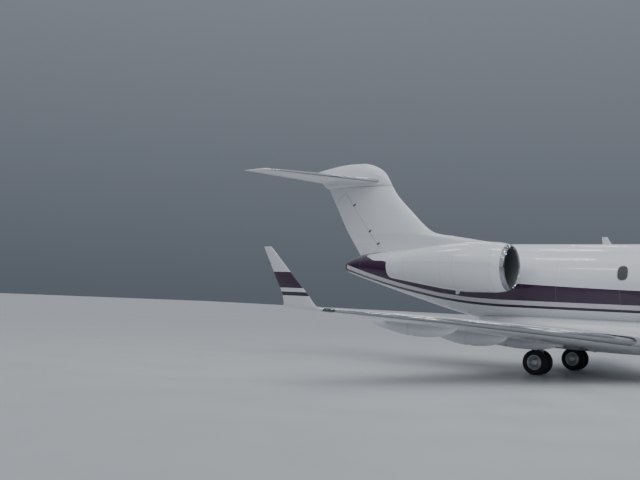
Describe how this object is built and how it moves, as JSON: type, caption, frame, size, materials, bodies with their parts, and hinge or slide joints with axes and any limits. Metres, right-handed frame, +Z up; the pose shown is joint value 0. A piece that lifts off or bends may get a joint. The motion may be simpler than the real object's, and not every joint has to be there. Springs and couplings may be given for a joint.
{
  "type": "business jet",
  "caption": "Low-wing business jet with swept wings and upturned tips, a T-tail and an engine pod on each side of its tail, standing on its wheels.",
  "frame": {"origin": "on the ground, under the middle of the jet's overall length and width", "axes": "+X towards the nose, +Y towards the left wing tip, +Z up"},
  "size_m": [20.9, 20.5678, 6.2982],
  "materials": {
    "airframe_paint": "gloss white",
    "window_glass": "dark tinted glass",
    "polished_metal": "polished",
    "engine_metal": "heat-stained metal",
    "gear_paint": "satin light grey",
    "tyre": "matt black rubber"
  },
  "bodies": {
    "airframe": {"fuselage": "airframe_paint", "radome": "airframe_paint", "belly_fairing": "airframe_paint", "fin": "airframe_paint", "fin_cap": "airframe_paint", "tailplane": "airframe_paint", "wing_left": "airframe_paint", "wing_right": "airframe_paint", "winglet_left": "airframe_paint", "winglet_right": "airframe_paint", "nacelle_left": "airframe_paint", "nacelle_right": "airframe_paint", "pylon_left": "airframe_paint", "pylon_right": "airframe_paint", "nose_door_left": "airframe_paint", "nose_door_right": "airframe_paint", "windscreen_left": "window_glass", "windscreen_right": "window_glass", "side_window_left": "window_glass", "side_window_right": "window_glass", "inlet_lip_left": "polished_metal", "inlet_lip_right": "polished_metal", "tail_exhaust": "engine_metal", "engine_core_left": "engine_metal", "engine_core_right": "engine_metal", "nose_leg": "gear_paint", "main_leg_left": "gear_paint", "main_leg_right": "gear_paint"},
    "entry_door": {"entry_door": "airframe_paint"},
    "nose_strut": {"nose_strut": "gear_paint"},
    "nose_wheels": {"nose_wheels": "tyre"},
    "rudder": {"rudder": "airframe_paint"},
    "main_wheels_left": {"main_wheels_left": "tyre"},
    "main_wheels_right": {"main_wheels_right": "tyre"},
    "fan_left": {"fan_left": "engine_metal"},
    "fan_right": {"fan_right": "engine_metal"},
    "elevator_left": {"elevator_left": "airframe_paint"},
    "elevator_right": {"elevator_right": "airframe_paint"},
    "aileron_left": {"aileron_left": "airframe_paint"},
    "aileron_right": {"aileron_right": "airframe_paint"},
    "inboard_flap_left": {"inboard_flap_left": "airframe_paint"},
    "inboard_flap_right": {"inboard_flap_right": "airframe_paint"},
    "outboard_flap_left": {"outboard_flap_left": "airframe_paint"},
    "outboard_flap_right": {"outboard_flap_right": "airframe_paint"}
  },
  "joints": [
    {"name": "entry_door_hinge", "type": "hinge", "parent": "airframe", "child": "entry_door", "pos_m": [6.87, 0.854, 1.578], "axis": [-1, 0, 0], "range_deg": [0, 125]},
    {"name": "nose_steer", "type": "hinge", "parent": "airframe", "child": "nose_strut", "pos_m": [7.15, 0, 0.9], "axis": [0, 0, 1], "range_deg": [-60, 60]},
    {"name": "nose_wheel_spin", "type": "hinge", "parent": "nose_strut", "child": "nose_wheels", "pos_m": [7.15, 0, 0.22362], "axis": [0, 1, 0], "continuous": true},
    {"name": "main_wheel_spin_left", "type": "hinge", "parent": "airframe", "child": "main_wheels_left", "pos_m": [-1.5, 1.55, 0.33053], "axis": [0, 1, 0], "continuous": true},
    {"name": "main_wheel_spin_right", "type": "hinge", "parent": "airframe", "child": "main_wheels_right", "pos_m": [-1.5, -1.55, 0.33053], "axis": [0, 1, 0], "continuous": true},
    {"name": "fan_spin_left", "type": "hinge", "parent": "airframe", "child": "fan_left", "pos_m": [-2.96, 1.9, 2.835], "axis": [1, 0, 0], "continuous": true},
    {"name": "fan_spin_right", "type": "hinge", "parent": "airframe", "child": "fan_right", "pos_m": [-2.96, -1.9, 2.835], "axis": [1, 0, 0], "continuous": true},
    {"name": "rudder_hinge", "type": "hinge", "parent": "airframe", "child": "rudder", "pos_m": [-7.5575, 0, 3.62], "axis": [-0.6, 0, 0.8], "range_deg": [-25, 25]},
    {"name": "elevator_hinge_left", "type": "hinge", "parent": "airframe", "child": "elevator_left", "pos_m": [-9.1608, 0.29, 5.68761], "axis": [-0.3048, 0.9524, -0.0078], "range_deg": [-15, 25]},
    {"name": "elevator_hinge_right", "type": "hinge", "parent": "airframe", "child": "elevator_right", "pos_m": [-9.1608, -0.29, 5.68761], "axis": [0.3048, 0.9524, 0.0078], "range_deg": [-15, 25]},
    {"name": "aileron_hinge_left", "type": "hinge", "parent": "airframe", "child": "aileron_left", "pos_m": [-2.93725, 7.3, 1.38809], "axis": [-0.2647, 0.9629, 0.0521], "range_deg": [-20, 20]},
    {"name": "aileron_hinge_right", "type": "hinge", "parent": "airframe", "child": "aileron_right", "pos_m": [-2.93725, -7.3, 1.38809], "axis": [0.2647, 0.9629, -0.0521], "range_deg": [-20, 20]},
    {"name": "inboard_flap_pivot_left", "type": "hinge", "parent": "airframe", "child": "inboard_flap_left", "pos_m": [-1.72928, 1.62, 0.70129], "axis": [0.1464, -0.9866, -0.0722], "range_deg": [0, 30]},
    {"name": "inboard_flap_pivot_right", "type": "hinge", "parent": "airframe", "child": "inboard_flap_right", "pos_m": [-1.72928, -1.62, 0.70129], "axis": [-0.1464, -0.9866, 0.0722], "range_deg": [0, 30]},
    {"name": "outboard_flap_pivot_left", "type": "hinge", "parent": "airframe", "child": "outboard_flap_left", "pos_m": [-2.01396, 4.2, 0.80621], "axis": [0.2667, -0.9585, -0.1008], "range_deg": [0, 30]},
    {"name": "outboard_flap_pivot_right", "type": "hinge", "parent": "airframe", "child": "outboard_flap_right", "pos_m": [-2.01396, -4.2, 0.80621], "axis": [-0.2667, -0.9585, 0.1008], "range_deg": [0, 30]}
  ],
  "couplings": [
    {"joint": "elevator_hinge_right", "follows": "elevator_hinge_left", "ratio": 1},
    {"joint": "aileron_hinge_right", "follows": "aileron_hinge_left", "ratio": -1},
    {"joint": "inboard_flap_pivot_right", "follows": "inboard_flap_pivot_left", "ratio": 1},
    {"joint": "outboard_flap_pivot_left", "follows": "inboard_flap_pivot_left", "ratio": 1},
    {"joint": "outboard_flap_pivot_right", "follows": "inboard_flap_pivot_left", "ratio": 1}
  ]
}
